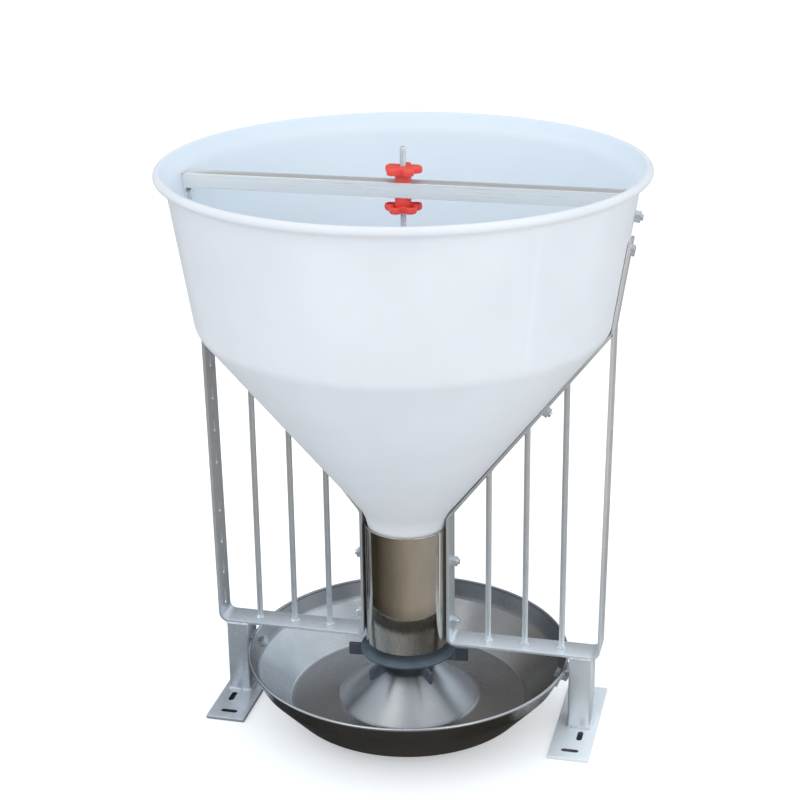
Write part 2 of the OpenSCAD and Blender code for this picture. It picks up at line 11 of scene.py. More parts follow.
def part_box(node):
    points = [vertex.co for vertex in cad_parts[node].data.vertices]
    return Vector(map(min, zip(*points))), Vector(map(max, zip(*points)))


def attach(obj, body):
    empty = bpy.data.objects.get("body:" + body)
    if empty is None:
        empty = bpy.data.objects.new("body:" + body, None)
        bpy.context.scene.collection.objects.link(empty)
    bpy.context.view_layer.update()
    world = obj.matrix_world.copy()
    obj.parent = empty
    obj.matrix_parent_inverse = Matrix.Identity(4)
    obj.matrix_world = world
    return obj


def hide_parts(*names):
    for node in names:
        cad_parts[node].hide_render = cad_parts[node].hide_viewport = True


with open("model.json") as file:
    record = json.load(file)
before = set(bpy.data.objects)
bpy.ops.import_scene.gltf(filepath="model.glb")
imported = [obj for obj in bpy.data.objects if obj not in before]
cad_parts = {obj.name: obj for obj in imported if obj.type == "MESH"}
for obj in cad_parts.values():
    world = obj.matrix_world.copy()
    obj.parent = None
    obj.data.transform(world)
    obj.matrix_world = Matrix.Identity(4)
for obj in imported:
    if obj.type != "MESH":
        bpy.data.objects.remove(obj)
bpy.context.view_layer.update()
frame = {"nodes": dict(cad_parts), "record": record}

# Sizes of the CAD solids that the pieces follow, in metres. A Vector is a radius or X, and a height.
# A slot is its length and its width.
HOPPER_T = 0.005
NECK_END = Vector((0.064, 0.332))
NECK = Vector((0.073, 0.384))
SHOULDER = Vector((0.3455, 0.735))
WALL_TOP = Vector((0.383, 0.986))
TUBE_R = 0.074
TUBE_T = 0.002
PAN_T = 0.002
PAN_WALL = Vector((0.28106, 0.116))
PAN_KNUCKLE = Vector((0.26756, 0.083))
PAN_FLOOR_R = 0.21106
PAN_FLOOR_Z = 0.021
PAN_CONE_R = 0.124
PAN_CONE_TOP = Vector((0.048, 0.084))
PAN_BEAD_R = 0.003
BAR_W = 0.05
BAR_T = 0.005
BAR_LOW_Z = 0.142
BAR_END_Z = 0.885
LEG_LEAN = 0.007
SLOT = (0.027, 0.009)
SLOT_FIRST_Z = 0.18
SLOT_PITCH = 0.06
SLOT_GROUP_RISE = 0.273
SLOT_GROUPS = 2
SLOTS_IN_GROUP = 4
ROD_R = 0.005
ROD_COUNT = 3
POST_X = 0.31006
POST_W = 0.04
POST_T = 0.003
PLATE_T = 0.006
PLATE_X = 0.30606
PLATE_SLOT = (0.03, 0.01)
CROSS_SLOT_INSET = 0.025
LONG_SLOT_SPAN = 0.1
LONG_SLOT_SHIFT = 0.01
STRAP_W = 0.03
STRAP_T = 0.004
STRAP_TOP_Z = 0.112
STRAP_END_Z = 0.078
CROSSBAR_W = 0.03
CROSSBAR_T = 0.002
CROSSBAR_LOW_Z = 0.938
CROSSBAR_TOP_Z = 0.963
TAB_GAP = 0.0055
TAB_END_Z = 0.9098
TAB_STEP = 0.0022
THREAD_PITCH = 0.0015
THREAD_ROOT_R = 0.0042
KNOB_R = 0.0315
KNOB_WAIST_R = 0.0198
KNOB_HUB_R = 0.0135
KNOB_HUB_H = 0.013
KNOB_H = 0.025
LOBES = 5
WHEEL_R = 0.084
WHEEL_BORE_R = 0.0052
WHEEL_LOW_Z = 0.1195
WHEEL_TOP_Z = 0.1245
HUB_R = 0.02
PADDLES = 6
PADDLE_TURN = 5
PADDLE_T = 0.006

# The hopper's flared lip, with its arc in degrees
LIP = Vector((0.3925, 0.987))
LIP_R = 0.0072
LIP_ARC = (-62, 116)
LIP_BEND_Z = 0.974
LIP_FLARE_Z = 0.964
LIP_UNDER_BEND = 0.012
LIP_OVER_BEND = 0.05

# Radii of bends, in the order of each path, and of rounded edges and corners, in metres
HOPPER_BENDS = (0.08, 0.045)
PAN_BENDS = (0.012, 0.012, 0.01, 0.011)
BAR_BENDS = (0.02, 0.014, 0.018, 0.02)
BAR_EDGE = 0.0009
POST_CORNER = 0.004
POST_INNER_CORNER = 0.0015
PLATE_EDGE = 0.0012
STRAP_BEND = 0.007
STRAP_EDGE = 0.0007
CROSSBAR_CORNER = 0.0008
CROSSBAR_INNER_CORNER = 0.0005
TAB_BEND = 0.005
TAB_EDGE = 0.0005
WHEEL_BENDS = (0.001, 0.001, 0.001, 0.001, 0.0008, 0.0012, 0.004, 0.005, 0.0025)
PADDLE_EDGE = 0.0027

# Small forms of the looks, in metres; arcs are in degrees
PAN_ROLL = (0, 330)
TAB_LAP = 0.001
ROD_CHAMFER = 0.0008
ROD_CHAMFER_H = 0.0012
DOME_INSET = 0.004
HUB_DROP = 0.003
SKIRT_DROP = 0.0018
PADDLE_REACH_IN = 0.021
PADDLE_LAP = 0.0004
PADDLE_TIP_GAP = 0.0003

# Welds: radii and places in metres, lumps as shares of a radius with their noise scales
WELD_LUMP = 0.45
WELD_LUMP_SCALE = 260
WELD_RIPPLE = 0.12
WELD_RIPPLE_TURN = 2.1
DROP_LUMP = 0.5
DROP_LUMP_SCALE = 320
ROD_FOOT_WELD_R = 0.003
ROD_FOOT_WELD_RISE = 0.0004
ROD_HEAD_WELD_R = 0.0024
ROD_HEAD_WELD_DROP = 0.0006
ROD_DROP_R = 0.0042
ROD_DROP_FRONT = 0.0018
ROD_DROP_RISE = 0.0012
SPATTER_COUNT = 5
SPATTER_NEAR = 0.009
SPATTER_STEP = 0.0022
SPATTER_TURN = 2.4
SPATTER_FRONT = 0.004
SPATTER_SQUASH = 0.8
SPATTER_R = 0.0008
SPATTER_R_STEP = 0.0002
POST_WELDS = ((PLATE_T + 0.0005, 0.003), (BAR_LOW_Z - 0.0007, 0.0021))
POST_WELD_STEP = 0.002

# Fineness of the meshes
HOPPER_SEGMENTS = 224
STEEL_SEGMENTS = 192
WHEEL_SEGMENTS = 144
KNOB_SEGMENTS = 120
ROD_SEGMENTS = 24
ROD_WELD_SEGMENTS = 22
THREAD_STEPS = 12
WELD_SIDES = 8
LIP_STEPS = 24
PAN_ROLL_STEPS = 11
TUBE_END_STEPS = 8
CORNER_STEPS = 3
SLOT_END_STEPS = 10
BEND_STEP = math.radians(6)
WHEEL_BEND_STEP = math.radians(20)
SHARP_ANGLE = math.radians(34)
MERGE_DISTANCE = 1e-6

# How far the tube's shading normals lean up, so that it mirrors the pan's rim low down
TUBE_TILT = 0.08

# Radii between which the painted light and shade of hopper and pan change, in metres
HOPPER_INSIDE = (0.3, 0.36)
CONE_EDGE = (0.118, 0.13)
FLOOR_EDGE = (0.204, 0.2105)
WALL_EDGE = (0.2672, 0.2692)
BEAD_EDGE = (0.2795, 0.2812)

# Half sizes round each foot of the painted shade in the plates' slots and of the painted shadow on the floor,
# in X and Y
SLOT_SHADE = (0.028, 0.12)
FLOOR_SHADE = (0.034, 0.124)

# Studio: camera turns are yaw, pitch and roll in degrees, its lens and sensor are in millimetres
FLOOR_REACH = 12
LIGHT_AIM = (0, 0, 0.6)
LIGHT_COLOUR = (1, 0.955, 0.9)
CAMERA_AT = (0.6732, -2.7633, 1.6651)
CAMERA_TURNS = (13.88, 20.78, -0.73)
CAMERA_LENS = 81.29
CAMERA_SENSOR = 36

WALL_SLOPE = (WALL_TOP.x - SHOULDER.x) / (WALL_TOP.y - SHOULDER.y)
WALL_LEAN = math.atan(WALL_SLOPE)
CONE_SLOPE = (SHOULDER.x - NECK.x) / (SHOULDER.y - NECK.y)
CONE_LEAN = math.atan(CONE_SLOPE)
LEG_TOP_X = SHOULDER.x + BAR_T / math.cos(WALL_LEAN)


def wall_r(z):
    """Outside radius of the hopper wall at a height."""
    return SHOULDER.x + (z - SHOULDER.y) * WALL_SLOPE


def cone_z(r):
    """Height of the outside of the hopper cone at a radius."""
    return NECK.y + (r - NECK.x) / CONE_SLOPE


def slant_z(x):
    """Height of the lower face of the slanted bar at a place along X."""
    return cone_z(x) - BAR_T / math.sin(CONE_LEAN)


def leg_x(z):
    """Outer face of the leg at a height below the shoulder."""
    return LEG_TOP_X - LEG_LEAN * (SHOULDER.y - z) / (SHOULDER.y - BAR_LOW_Z)


def rod_xs():
    """Places of the upright rods between the feed tube's bar and the leg."""
    first, last = TUBE_R + BAR_T, leg_x(BAR_LOW_Z) - BAR_T
    return [first + (last - first) * (i + 1) / (ROD_COUNT + 1) for i in range(ROD_COUNT)]


# Lines in a plane, as lists of points


def heading(path, i):
    """Direction of a path after one of its points."""
    return (path[i + 1] - path[i]).normalized()


def left_of(v):
    return Vector((-v.y, v.x))


def turn_at(path, i):
    """Angle by which a path turns at a point, positive to its left."""
    a, b = heading(path, i - 1), heading(path, i)
    return math.atan2(a.cross(b), a.dot(b))


def turned(v, angle):
    return Matrix.Rotation(angle, 2) @ v


def shifted(path, distance):
    """The same path moved to its left."""
    moved = []
    for i, point in enumerate(path):
        a, b = heading(path, max(i - 1, 0)), heading(path, min(i, len(path) - 2))
        moved.append(point + (left_of(a) + left_of(b)) * distance / (1 + a.dot(b)))
    return moved


def rounded(path, radii, step=BEND_STEP):
    """A path with an arc at each inner corner."""
    points = [path[0]]
    for i, radius in enumerate(radii, 1):
        a, turn = heading(path, i - 1), turn_at(path, i)
        way = math.copysign(1, turn)
        start = path[i] - a * radius * math.tan(abs(turn) / 2)
        centre = start + left_of(a) * way * radius
        steps = max(2, math.ceil(abs(turn) / step))
        points += [centre - turned(left_of(a), turn * k / steps) * way * radius for k in range(steps + 1)]
    return points + [path[-1]]


def sheet(path, radii, thickness):
    """Both sides of a bent sheet, whose thickness lies on the path's left."""
    inner = [r - thickness * math.copysign(1, turn_at(path, i)) for i, r in enumerate(radii, 1)]
    return rounded(path, radii), rounded(shifted(path, thickness), inner)


def arc(centre, radius, first, last, steps):
    """Points of an arc between two angles in degrees."""
    angles = [math.radians(first + (last - first) * k / steps) for k in range(steps + 1)]
    return [centre + Vector((math.cos(a), math.sin(a))) * radius for a in angles]


def rounded_rectangle(a, b, radius):
    """Outline of a rectangle round the origin with rounded corners."""
    points = []
    for quarter, (sx, sy) in enumerate(((1, 1), (-1, 1), (-1, -1), (1, -1))):
        centre = Vector((sx * (a / 2 - radius), sy * (b / 2 - radius)))
        points += arc(centre, radius, 90 * quarter, 90 * quarter + 90, CORNER_STEPS)
    return points


def stadium(length, width):
    """Outline of a slot with round ends, long in X."""
    reach = Vector(((length - width) / 2, 0))
    ends = ((reach, -90, 90), (-reach, 90, 270))
    return [p for at, first, last in ends for p in arc(at, width / 2, first, last, SLOT_END_STEPS)]


# Meshes


def circle(count):
    """Angles of a full turn in equal steps."""
    return [2 * math.pi * k / count for k in range(count)]


def spun(radius, angle, z):
    """Point at a radius, an angle and a height round the upright axis."""
    return Vector((radius * math.cos(angle), radius * math.sin(angle), z))


def skin(bm, rings, loop=False, caps=False):
    """Joins closed rings of points into a skin; loop joins the last ring to the first."""
    rows = [[bm.verts.new(p) for p in ring] for ring in rings]
    for i in range(len(rows) if loop else len(rows) - 1):
        a, b = rows[i], rows[(i + 1) % len(rows)]
        for j in range(len(a)):
            k = (j + 1) % len(a)
            bm.faces.new((a[j], a[k], b[k], b[j]))
    if caps:
        bm.faces.new(rows[0])
        bm.faces.new(rows[-1])


def lathe(bm, outline, segments, loop=True):
    """Turns an outline of radii and heights round the upright axis."""
    skin(bm, [[spun(p.x, a, p.y) for a in circle(segments)] for p in outline], loop)


def strip(bm, one, other, widths, side, edge):
    """Flat bar between two lines in X and Z, spread in Y, with rounded edges; side mirrors it."""
    rings = []
    for p, q, width in zip(one, other, widths):
        middle, across = (p + q) / 2, (q - p).normalized()
        section = rounded_rectangle((q - p).length, width, min(edge, width / 3))
        points = [(middle + across * s.x, s.y) for s in section]
        rings.append([Vector((side * at.x, y, at.y)) for at, y in points])
    skin(bm, rings, caps=True)


def box_tube(bm, outer, inner, place, ends):
    """Hollow section with rounded corners between two ends; place puts a point of the section in space."""
    low, high = ends
    skin(bm, [
        [place(p, low) for p in outer], [place(p, high) for p in outer],
        [place(p, high) for p in inner], [place(p, low) for p in inner],
    ], loop=True)


def block(bm, place, size, bevel):
    """Solid block with rounded edges."""
    made = bmesh.ops.create_cube(bm, size=1, matrix=place @ Matrix.Diagonal((*size, 1)))
    edges = list({e for v in made["verts"] for e in v.link_edges})
    bmesh.ops.bevel(bm, geom=edges, offset=bevel, segments=3, profile=0.5, affect="EDGES")


def weld(bm, ring, radius):
    """Closed weld bead along a ring of points, lumpy as it was laid."""
    rings = []
    for i, p in enumerate(ring):
        along = (ring[(i + 1) % len(ring)] - ring[i - 1]).normalized()
        side = along.cross(Vector((0, 0, 1))).normalized()
        rise = side.cross(along)
        lump = WELD_LUMP * noise.noise(p * WELD_LUMP_SCALE)
        swell = radius * (1 + lump + WELD_RIPPLE * math.sin(WELD_RIPPLE_TURN * i))
        rings.append([p + (side * math.cos(a) + rise * math.sin(a)) * swell for a in circle(WELD_SIDES)])
    skin(bm, rings, loop=True)


def drop(bm, at, radius):
    """Lumpy drop of weld metal."""
    made = bmesh.ops.create_icosphere(bm, subdivisions=2, radius=radius, matrix=Matrix.Translation(at))
    for v in made["verts"]:
        v.co += (v.co - at) * DROP_LUMP * noise.noise(v.co * DROP_LUMP_SCALE)


def smoothed(mesh):
    mesh.shade_smooth()
    mesh.set_sharp_from_angle(angle=SHARP_ANGLE)


def mesh_of(bm, name):
    """Turns a mesh in the making into mesh data."""
    mesh = bpy.data.meshes.new(name)
    bm.to_mesh(mesh)
    bm.free()
    return mesh


def added(name, data):
    """Adds data to the scene as an object."""
    made = bpy.data.objects.new(name, data)
    bpy.context.scene.collection.objects.link(made)
    return made


def piece(name, bm, body, slot, *nodes, look=None):
    """Makes a piece of a mesh, which rides on a body and stands for CAD nodes."""
    bmesh.ops.remove_doubles(bm, verts=bm.verts, dist=MERGE_DISTANCE)
    bmesh.ops.recalc_face_normals(bm, faces=bm.faces)
    mesh = mesh_of(bm, name)
    smoothed(mesh)
    mesh.materials.append(looks[look or slot])
    made = added(name, mesh)
    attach(made, body)
    if nodes:
        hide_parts(*nodes)
    return made


def cut(made, cutters):
    """Cuts the closed solids of a mesh out of a piece."""
    bmesh.ops.recalc_face_normals(cutters, faces=cutters.faces)
    mesh = mesh_of(cutters, "cutters")
    tool = added("cutters", mesh)
    modifier = made.modifiers.new("slots", "BOOLEAN")
    modifier.object, modifier.operation, modifier.solver = tool, "DIFFERENCE", "EXACT"
    depsgraph = bpy.context.evaluated_depsgraph_get()
    whole = made.data
    made.data = bpy.data.meshes.new_from_object(made.evaluated_get(depsgraph))
    made.modifiers.clear()
    bpy.data.objects.remove(tool)
    bpy.data.meshes.remove(mesh)
    bpy.data.meshes.remove(whole)
    smoothed(made.data)


# Materials


def srgb(r, g, b):
    """A colour of 0 to 255 as Blender's linear colour."""
    return (*(((c / 255 + 0.055) / 1.055) ** 2.4 if c > 10 else c / 255 / 12.92 for c in (r, g, b)), 1)


class Nodes:
    """The shader nodes of one tree in the making."""

    def __init__(self, tree, coordinates):
        self.tree = tree
        self.place = self.node("TexCoord").outputs[coordinates]

    def node(self, kind, inputs=None, **settings):
        made = self.tree.nodes.new("ShaderNode" + kind)
        for key, value in settings.items():
            setattr(made, key, value)
        for socket, value in (inputs or {}).items():
            self.feed(made.inputs[socket], value)
        return made

    def feed(self, socket, value):
        """Links a socket to another one, or sets its value."""
        if isinstance(value, bpy.types.NodeSocket):
            self.tree.links.new(value, socket)
        else:
            socket.default_value = value

    def part(self, axis):
        return self.node("SeparateXYZ", {"Vector": self.place}).outputs[axis]

    def math(self, operation, a, b):
        return self.node("Math", {0: a, 1: b}, operation=operation).outputs["Value"]

    def times(self, a, b):
        return self.math("MULTIPLY", a, b)

    def size(self, a):
        return self.math("ABSOLUTE", a, 0)

    def less(self, a, limit):
        """Share of 1 where a value is below a limit."""
        return self.math("LESS_THAN", a, limit)

    def around(self):
        """Share of a turn round the upright axis, 0.5 towards the front."""
        azimuth = self.math("ARCTAN2", self.part("X"), self.times(self.part("Y"), -1))
        return self.math("ADD", self.math("DIVIDE", azimuth, 2 * math.pi), 0.5)

    def spread(self, value, low, high, to_low, to_high):
        """Takes a range of values to another one, and stops at its ends."""
        inputs = {"Value": value, "From Min": low, "From Max": high, "To Min": to_low, "To Max": to_high}
        return self.node("MapRange", inputs).outputs["Result"]

    def ramp(self, value, *stops):
        made = self.node("ValToRGB", {"Fac": value})
        elements = made.color_ramp.elements
        while len(elements) < len(stops):
            elements.new(0.5)
        for element, (place, colour) in zip(elements, stops):
            element.position, element.color = place, colour
        return made.outputs["Color"]

    def mixed(self, share, a, b):
        return self.node("MixRGB", {"Fac": share, "Color1": a, "Color2": b}).outputs["Color"]

    def either(self, share, a, b):
        """Mixes two shaders."""
        return self.node("MixShader", {0: share, 1: a, 2: b}).outputs["Shader"]


class Look(Nodes):
    """A node material in the making, with the nodes that feed its shader."""

    def __init__(self, name, **constants):
        self.material = bpy.data.materials.new(name)
        self.material.use_nodes = True
        super().__init__(self.material.node_tree, "Object")
        self.shader = self.tree.nodes["Principled BSDF"]
        self.finish(**constants)

    def stretched(self, x, y, z):
        """Object coordinates, with a scale along each axis."""
        return self.node("Mapping", {"Vector": self.place, "Scale": (x, y, z)}).outputs["Vector"]

    def grain(self, scale, at=None, detail=3, rough=0.55):
        inputs = {"Vector": at or self.place, "Scale": scale, "Detail": detail, "Roughness": rough}
        return self.node("TexNoise", inputs).outputs["Fac"]

    def cells(self, scale):
        return self.node("TexVoronoi", {"Vector": self.place, "Scale": scale}).outputs["Color"]

    def flat(self):
        """Object coordinates without their height."""
        return self.node("VectorMath", {0: self.place, 1: (1, 1, 0)}, operation="MULTIPLY").outputs["Vector"]

    def radius(self):
        """Distance from the upright axis."""
        return self.node("VectorMath", {0: self.flat()}, operation="LENGTH").outputs["Value"]

    def normal(self):
        return self.node("NewGeometry").outputs["Normal"]

    def upward(self, tilt):
        """Normals that lean up."""
        leaning = self.node("VectorMath", {0: self.normal(), 1: (0, 0, tilt)}, operation="ADD")
        made = self.node("VectorMath", {0: leaning.outputs["Vector"]}, operation="NORMALIZE")
        return made.outputs["Vector"]

    def inward(self):
        """Share of 1 where a surface faces the upright axis."""
        facing = self.node("VectorMath", {0: self.normal(), 1: self.flat()}, operation="DOT_PRODUCT")
        return self.less(facing.outputs["Value"], 0)

    def by_feet(self, centre_x, half_x, half_y):
        """Share of 1 in a rectangle round each of the two feet."""
        beside = self.size(self.math("SUBTRACT", self.size(self.part("X")), centre_x))
        return self.times(self.less(beside, half_x), self.less(self.size(self.part("Y")), half_y))

    def bump(self, height, strength, distance, below=None):
        inputs = {"Height": height, "Strength": strength, "Distance": distance}
        if below:
            inputs["Normal"] = below
        return self.node("Bump", inputs).outputs["Normal"]

    def finish(self, **values):
        """Feeds the shader's sockets."""
        for socket, value in values.items():
            self.feed(self.shader.inputs[socket.replace("_", " ")], value)
        return self.material


def polyethylene():
    """White moulding with a soft grain and scuffs, and painted cool light on the inside of its wall."""
    look = Look("polyethylene", Subsurface_Weight=0.3, Subsurface_Radius=(0.9, 0.95, 1.0),
                Subsurface_Scale=0.012, IOR=1.45)
    cloud, speck = look.grain(5, detail=4), look.grain(700, detail=2)
    scuff = look.grain(30, look.stretched(1, 1, 0.25), detail=6, rough=0.7)
    tint = look.ramp(cloud, (0.3, srgb(221, 221, 223)), (0.7, srgb(228, 228, 230)))
    wear_and_painted_shade = look.mixed(look.spread(scuff, 0.62, 0.78, 0, 0.3), tint, srgb(212, 214, 217))
    # Painted cool light: the inside of the upper wall is made bluer
    within = look.times(look.spread(look.radius(), *HOPPER_INSIDE, 0, 1), look.inward())
    cool = look.mixed(look.times(within, 0.8), wear_and_painted_shade, srgb(225, 235, 244))
    peel = look.bump(speck, 0.05, 0.0006)
    return look.finish(Base_Color=cool, Roughness=look.spread(scuff, 0.3, 0.75, 0.4, 0.56),
                       Normal=look.bump(look.grain(14), 0.06, 0.004, peel))


def polished_steel():
    """Mirror-like tube, drawn upright, with a painted dark reflection at its left edge."""
    look = Look("polished_steel", Metallic=1, IOR=2.5)
    lines = look.grain(60, look.stretched(14, 14, 0.12), detail=4)
    smear = look.grain(24, look.stretched(1, 1, 0.4), detail=3)
    tint = look.ramp(smear, (0.3, srgb(204, 199, 191)), (0.7, srgb(220, 215, 207)))
    # Painted dark reflection along the tube's left edge
    shade = look.mixed(look.spread(look.part("X"), -0.07, -0.056, 0.6, 0), tint, srgb(104, 104, 103))
    return look.finish(Base_Color=shade, Roughness=look.spread(smear, 0.3, 0.75, 0.05, 0.11),
                       Normal=look.bump(lines, 0.007, 0.0003, look.upward(TUBE_TILT)))


def pan_steel():
    """Spun steel with fine rings, with painted highlights on cone and bead, and painted shade and reflections
    darker to the right, the rear and the front.
    """
    look = Look("pan_steel", Metallic=1, Anisotropic=0.6, Anisotropic_Rotation=0.25, IOR=2.5)
    x, y, radius = look.part("X"), look.part("Y"), look.radius()
    reach = look.node("CombineXYZ", {"X": look.times(radius, 420)}).outputs["Vector"]
    rings = look.grain(1, reach, detail=5, rough=0.7)
    smudge, speck = look.grain(16, detail=5), look.grain(220, detail=3)
    bright, dull = srgb(212, 217, 222), srgb(150, 148, 146)
    # Painted light across the dish: lighter to the left, darker and warmer to the right
    across = look.ramp(look.spread(x, -0.28, 0.28, 0, 1), (0.1, bright),
                       (0.56, srgb(172, 174, 177)), (0.84, srgb(138, 133, 126)))
    # Painted highlights on the lit front of the middle cone and along the rolled bead
    lit = look.times(look.spread(x, -0.11, 0, 0.1, 1), look.spread(y, -0.12, -0.07, 0.4, 1))
    cone = look.times(look.spread(radius, *CONE_EDGE, 0.85, 0), lit)
    bead = look.spread(radius, *BEAD_EDGE, 0, 0.9)
    # Painted shade and reflections: darker on the rear wall, the inside of the front wall and the flat floor
    rear = look.times(look.spread(radius, *WALL_EDGE, 0, 0.75), look.spread(y, 0, 0.12, 0, 1))
    front = look.times(look.spread(radius, *WALL_EDGE, 0, 0.85),
                       look.times(look.spread(y, -0.1, 0, 1, 0), look.inward()))
    even = look.mixed(look.spread(radius, *FLOOR_EDGE, 0.6, 0), across, srgb(150, 149, 149))
    shaded = look.mixed(front, look.mixed(rear, even, srgb(112, 116, 124)), srgb(88, 84, 78))
    metal = look.mixed(look.math("ADD", cone, bead), shaded, bright)
    blotched = look.mixed(look.spread(smudge, 0.3, 0.7, 0, 0.2), metal, dull)
    streaked = look.mixed(look.spread(rings, 0.4, 0.75, 0, 0.2), blotched, dull)
    tangent = look.node("Tangent", direction_type="RADIAL", axis="Z").outputs["Tangent"]
    fine = look.bump(rings, 0.05, 0.0004)
    sheen = look.math("ADD", look.spread(smudge, 0.3, 0.7, 0.24, 0.31), look.times(cone, 0.16))
    return look.finish(Base_Color=streaked, Roughness=sheen, Tangent=tangent,
                       Normal=look.bump(speck, 0.008, 0.0004, fine))


def stainless():
    """Brushed bar with a few stains."""
    look = Look("stainless", Metallic=0.62, IOR=2.5)
    brush = look.grain(40, look.stretched(0.12, 18, 18), detail=5, rough=0.65)
    stain = look.grain(12, detail=5)
    tint = look.ramp(brush, (0.3, srgb(238, 237, 235)), (0.7, srgb(246, 245, 243)))
    wear_and_painted_shade = look.mixed(look.spread(stain, 0.58, 0.78, 0, 0.25), tint, srgb(206, 200, 192))
    return look.finish(Base_Color=wear_and_painted_shade, Roughness=look.spread(brush, 0.3, 0.7, 0.26, 0.34),
                       Normal=look.bump(brush, 0.02, 0.0003))


def galvanised():
    """Zinc spangle, warmer higher up, with painted light on the right plate and leg and painted shade in the
    plates' slots.
    """
    look = Look("galvanised", IOR=1.6)
    x, height = look.part("X"), look.part("Z")
    spangle = look.node("SeparateColor", {"Color": look.cells(110)}).outputs["Red"]
    cloud, speck = look.grain(16, detail=6, rough=0.6), look.grain(320, detail=4)
    patch = look.math("ADD", look.times(spangle, 0.22), look.times(cloud, 0.78))
    tint = look.ramp(patch, (0.22, srgb(190, 197, 204)), (0.5, srgb(208, 215, 222)),
                     (0.8, srgb(222, 228, 234)))
    # Painted light: lighter and bluer towards the right, most on the right foot plate, which is also made
    # less metallic
    right = look.times(look.spread(x, -0.3, 0.3, 0, 0.9), look.spread(height, 0.14, 0.3, 1, 0.1))
    warm = look.mixed(look.spread(height, 0.16, 0.4, 0, 0.6), tint, srgb(204, 201, 196))
    # Painted light on the upper right leg
    leg = look.times(look.spread(x, 0.3, 0.33, 0, 0.8), look.spread(height, 0.2, 0.5, 0, 1))
    spangle_and_painted_light = look.mixed(leg, look.mixed(right, warm, srgb(243, 249, 253)), srgb(243, 241, 240))
    plate = look.less(height, PLATE_T + 0.001)
    metal = look.spread(look.times(right, plate), 0, 0.9, 0.6, 0.05)
    # Painted shade inside the foot plates' slots
    slot = look.times(look.by_feet(POST_X, *SLOT_SHADE), look.less(height, PLATE_T - 0.0006))
    with_painted_slot_shade = look.mixed(look.times(slot, 0.9), spangle_and_painted_light, srgb(54, 56, 56))
    low = look.bump(cloud, 0.08, 0.001)
    return look.finish(Base_Color=with_painted_slot_shade, Metallic=metal, Roughness=look.spread(patch, 0.25, 0.75, 0.4, 0.28),
                       Normal=look.bump(speck, 0.05, 0.0004, low))


def zinc_plated():
    """Bright fasteners with a faint yellow and blue cast."""
    look = Look("zinc_plated", Metallic=0.72, IOR=2.2)
    cloud, scratch = look.grain(60, detail=5), look.grain(300, detail=4, rough=0.7)
    tint = look.ramp(cloud, (0.3, srgb(208, 218, 226)), (0.55, srgb(228, 234, 239)),
                     (0.75, srgb(230, 228, 218)))
    return look.finish(Base_Color=tint, Roughness=look.spread(scratch, 0.3, 0.7, 0.24, 0.34),
                       Normal=look.bump(scratch, 0.02, 0.0003))


def weld_metal():
    """Pale crust of zinc over the welds."""
    look = Look("weld_metal", Metallic=0.4, IOR=2.0)
    crust, cloud = look.grain(500, detail=5, rough=0.7), look.grain(90, detail=4)
    tint = look.ramp(cloud, (0.3, srgb(206, 212, 218)), (0.6, srgb(236, 240, 244)),
                     (0.8, srgb(246, 248, 251)))
    return look.finish(Base_Color=tint, Roughness=look.spread(crust, 0.3, 0.7, 0.26, 0.44),
                       Normal=look.bump(crust, 0.3, 0.0006))


def red_plastic():
    """Moulded knobs with fine pores."""
    look = Look("red_plastic", IOR=1.5, Coat_Weight=0.12, Coat_Roughness=0.25)
    cloud, pore = look.grain(45, detail=4), look.grain(900, detail=2)
    tint = look.ramp(cloud, (0.3, srgb(236, 66, 56)), (0.7, srgb(246, 82, 70)))
    return look.finish(Base_Color=tint, Roughness=look.spread(cloud, 0.3, 0.7, 0.32, 0.44),
                       Normal=look.bump(pore, 0.05, 0.0003))


def brass():
    """Turned inserts of the knobs."""
    look = Look("brass", Metallic=1, IOR=2.0)
    cloud, turning = look.grain(120, detail=4), look.grain(900, look.stretched(0.1, 0.1, 1))
    tint = look.ramp(cloud, (0.3, srgb(176, 138, 74)), (0.7, srgb(204, 168, 100)))
    return look.finish(Base_Color=tint, Roughness=look.spread(cloud, 0.3, 0.7, 0.25, 0.4),
                       Normal=look.bump(turning, 0.1, 0.0003))


def wheel_iron():
    """Blue-grey casting with painted shade on its paddles."""
    look = Look("wheel_iron", Metallic=0.3, IOR=1.5)
    cast, cloud = look.grain(260, detail=5, rough=0.65), look.grain(26, detail=5)
    tint = look.ramp(cloud, (0.3, srgb(92, 106, 116)), (0.7, srgb(112, 126, 136)))
    # Painted shade: the paddles beyond the disc's edge are darker
    paddle = look.spread(look.radius(), WHEEL_R + 0.0004, WHEEL_R + 0.0014, 0, 0.7)
    wear_and_painted_shade = look.mixed(paddle, tint, srgb(80, 84, 92))
    return look.finish(Base_Color=wear_and_painted_shade, Roughness=look.spread(cast, 0.3, 0.7, 0.42, 0.6),
                       Normal=look.bump(cast, 0.2, 0.0006))


looks = {
    make.__name__: make()
    for make in (
        polyethylene, polished_steel, pan_steel, stainless, galvanised, zinc_plated,
        weld_metal, red_plastic, brass, wheel_iron,
    )
}
for row in frame["record"]["subparts"]:
    node = frame["nodes"][row["node"]]
    node.data.materials.clear()
    node.data.materials.append(looks[row["material_slot"]])


# Pieces


